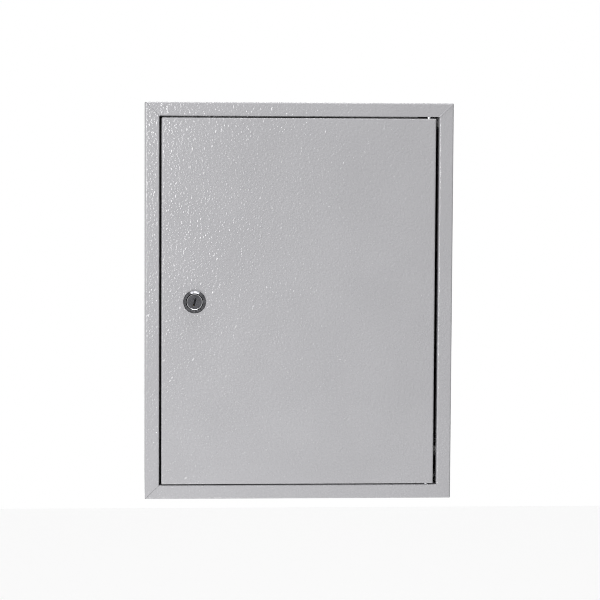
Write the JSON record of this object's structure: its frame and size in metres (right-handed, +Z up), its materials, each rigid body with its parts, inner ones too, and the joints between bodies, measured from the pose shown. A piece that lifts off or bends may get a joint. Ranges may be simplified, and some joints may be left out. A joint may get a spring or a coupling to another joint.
{
  "type": "sheet steel wall enclosure",
  "caption": "Wall enclosure in folded sheet steel with a flush hinged door, a keyed cam lock and a mounting plate inside.",
  "frame": {"origin": "middle of the four wall holes, on the back face that lies against the wall", "axes": "+X to the right seen from the front, +Y out of the back into the wall, +Z up"},
  "size_m": [0.31, 0.2234, 0.41],
  "materials": {
    "paint": "light grey textured powder coat",
    "zinc": "bright zinc plated",
    "steel": "satin",
    "chrome": "polished",
    "brass": "stamped",
    "foam": "closed cell foam",
    "rubber": "matte",
    "nylon": "satin"
  },
  "bodies": {
    "body": {"side_wrap": "paint", "top_wall": "paint", "bottom_wall": "paint", "door_seal": "foam", "mounting_plate": "zinc", "plate_studs": "steel", "plate_sleeves": "nylon", "plate_washers": "zinc", "plate_nuts": "zinc", "body_earth_stud": "steel", "body_earth_washers": "zinc", "body_earth_nut": "zinc", "cable_grommet_left": "rubber", "cable_grommet_middle": "rubber", "cable_grommet_right": "rubber"},
    "door": {"door_panel": "paint", "hinge_bracket_top": "zinc", "hinge_bracket_bottom": "zinc", "hinge_pin_top": "zinc", "hinge_pin_bottom": "zinc", "hinge_clip_top": "steel", "hinge_clip_bottom": "steel", "door_earth_stud": "steel", "door_earth_washers": "zinc", "door_earth_nut": "zinc", "lock_housing": "chrome", "lock_washer": "zinc", "lock_nut": "zinc"},
    "lock": {"lock_plug": "steel", "lock_wafers": "brass", "lock_cam": "zinc", "cam_washer": "steel", "cam_screw": "zinc"}
  },
  "joints": [
    {"name": "door_hinge", "type": "hinge", "parent": "body", "child": "door", "pos_m": [0.1303, -0.215, -0.0003], "axis": [0, 0, 1], "range_deg": [0, 110]},
    {"name": "lock_turn", "type": "hinge", "parent": "door", "child": "lock", "pos_m": [-0.1052, -0.22, -0.0003], "axis": [0, 1, 0], "range_deg": [0, 90]}
  ]
}
